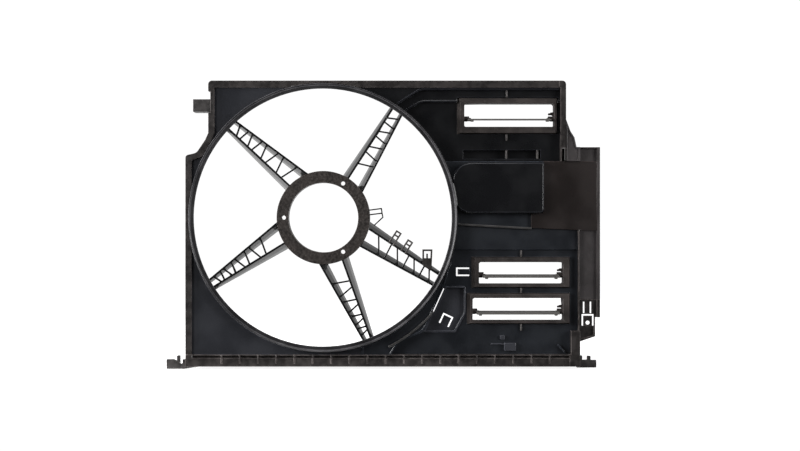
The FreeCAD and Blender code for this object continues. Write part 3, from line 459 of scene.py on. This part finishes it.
low, high = [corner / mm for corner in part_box("window_frame_upper")]
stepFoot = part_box("upper_step")[1].y / mm
wall = collar["wall"]
left, right, top = low.x - wall, high.x - collar["overlap"], high.z - collar["overlap"]
bottom = top - collar["drop"]
front = low.y + collar["setback"]
closingWall("surround_collar_upper",
            [(left, top), (right, top), (right, bottom), (right + wall, bottom),
             (right + wall, top + wall), (left, top + wall)],
            front, stepFoot - collar["short"] - front, "gloss", collar["edge"])

# end wall of the bottom rail's groove, from the near corner of the lower right rail and the rail's top
grooveEnd = {"inset": 2.0, "thick": 2.4, "bottom": 5.8, "top": 1.4, "setback": 1.4, "depth": 10.0,
             "edge": 0.3}
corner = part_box("lower_right_rail")[0] / mm
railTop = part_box("bottom_rail")[1].z / mm
right = corner.x + grooveEnd["inset"]
left = right - grooveEnd["thick"]
bottom, top = railTop - grooveEnd["bottom"], railTop - grooveEnd["top"]
closingWall("groove_end", [(left, bottom), (right, bottom), (right, top), (left, top)],
            corner.y + grooveEnd["setback"], grooveEnd["depth"], "rail", grooveEnd["edge"])
print("closing walls: done")

view = {"target": (0.1199, -0.0123), "distance": 2.5, "lens": 71.9, "sensor": 36.0}
camera = bpy.data.objects.new("camera", bpy.data.cameras.new("camera"))
camera.data.lens = view["lens"]
camera.data.sensor_width = view["sensor"]
camera.location = (view["target"][0], -view["distance"], view["target"][1])
camera.rotation_euler = (math.radians(90), 0, 0)
bpy.context.scene.collection.objects.link(camera)
bpy.context.scene.camera = camera

# a white disc under the part, that begins just in front of it; inFront and drop in mm
floorSettings = {"radius": 3.0, "segments": 96, "inFront": 8, "drop": 0.5, "emission": 0.85}
mesh = bmesh.new()
bmesh.ops.create_circle(mesh, cap_ends=True, segments=floorSettings["segments"],
                        radius=floorSettings["radius"])
bmesh.ops.translate(mesh, verts=mesh.verts,
                    vec=(0, floorSettings["radius"] + cadBox[0][1] - floorSettings["inFront"] * mm,
                         cadBox[0][2] - floorSettings["drop"] * mm))
floorData = bpy.data.meshes.new("floor")
mesh.to_mesh(floorData)
mesh.free()
floor = bpy.data.objects.new("floor", floorData)
bpy.context.scene.collection.objects.link(floor)
floorData.materials.append(surfaceMaterial("whitePaper", lambda shader: {
    "Base Color": (0.85, 0.85, 0.85), "Roughness": 0.9, "Emission Color": (1.0, 1.0, 1.0),
    "Emission Strength": floorSettings["emission"]}))

# a white studio: brightest behind the object, dim behind the camera, plain white where nothing stands
studio = {
    "front": 0.05, "straightBehind": 0.3, "seen": 1.05,
    "height": (-0.5, 0.5), "back": (3.2, 0.6),  # direction Z of the back's foot and top, their strengths
    "rise": (0.35, 0.7), "fall": (0.88, 0.97),  # direction Y where it brightens and dims again
}
white = (1.0, 1.0, 1.0)
world = bpy.data.worlds.new("studio")
bpy.context.scene.world = world
sky = Shader(world, "Generated")
depthWise = sky.add("ShaderNodeSeparateXYZ", {}, {0: sky.place}, "Y")
upWise = sky.add("ShaderNodeSeparateXYZ", {}, {0: sky.place}, "Z")
back = sky.ramp(upWise, *studio["height"], *studio["back"], "LINEAR")
brightening = sky.ramp(depthWise, *studio["rise"], studio["front"], back, "LINEAR")
strength = sky.ramp(depthWise, *studio["fall"], brightening, studio["straightBehind"], "LINEAR")
lit = sky.add("ShaderNodeBackground", {}, {"Color": white, "Strength": strength})
plain = sky.add("ShaderNodeBackground", {}, {"Color": white, "Strength": studio["seen"]})
seen = sky.add("ShaderNodeLightPath", {}, {}, "Is Camera Ray")
sky.feed(sky.tree.nodes["World Output"].inputs["Surface"],
         sky.add("ShaderNodeMixShader", {}, {0: seen, 1: lit, 2: plain}))

lamps = {
    "keyLeft": {"at": (-1.8, -1.7, 0.5), "to": (0.1, 0, 0.1), "size": 0.9, "power": 30},
    "edgeLeft": {"at": (-2.0, -0.25, 0.3), "to": (0.1, 0, 0), "size": 0.9, "power": 75},
    "fillRight": {"at": (2.1, -1.7, 0.4), "to": (0.2, 0, 0), "size": 1.0, "power": 28},
    "overhead": {"at": (0.1, -1.0, 2.0), "to": (0.1, 0, 0.25), "size": 1.2, "power": 14},
}
for name, lamp in lamps.items():
    light = bpy.data.objects.new(name, bpy.data.lights.new(name, "AREA"))
    light.data.size = lamp["size"]
    light.data.energy = lamp["power"]
    light.location = lamp["at"]
    aim = Vector(lamp["to"]) - Vector(lamp["at"])
    light.rotation_euler = aim.to_track_quat("-Z", "Y").to_euler()
    bpy.context.scene.collection.objects.link(light)
bpy.context.scene.view_settings.view_transform = "Standard"
print("stage, camera and lights: done")
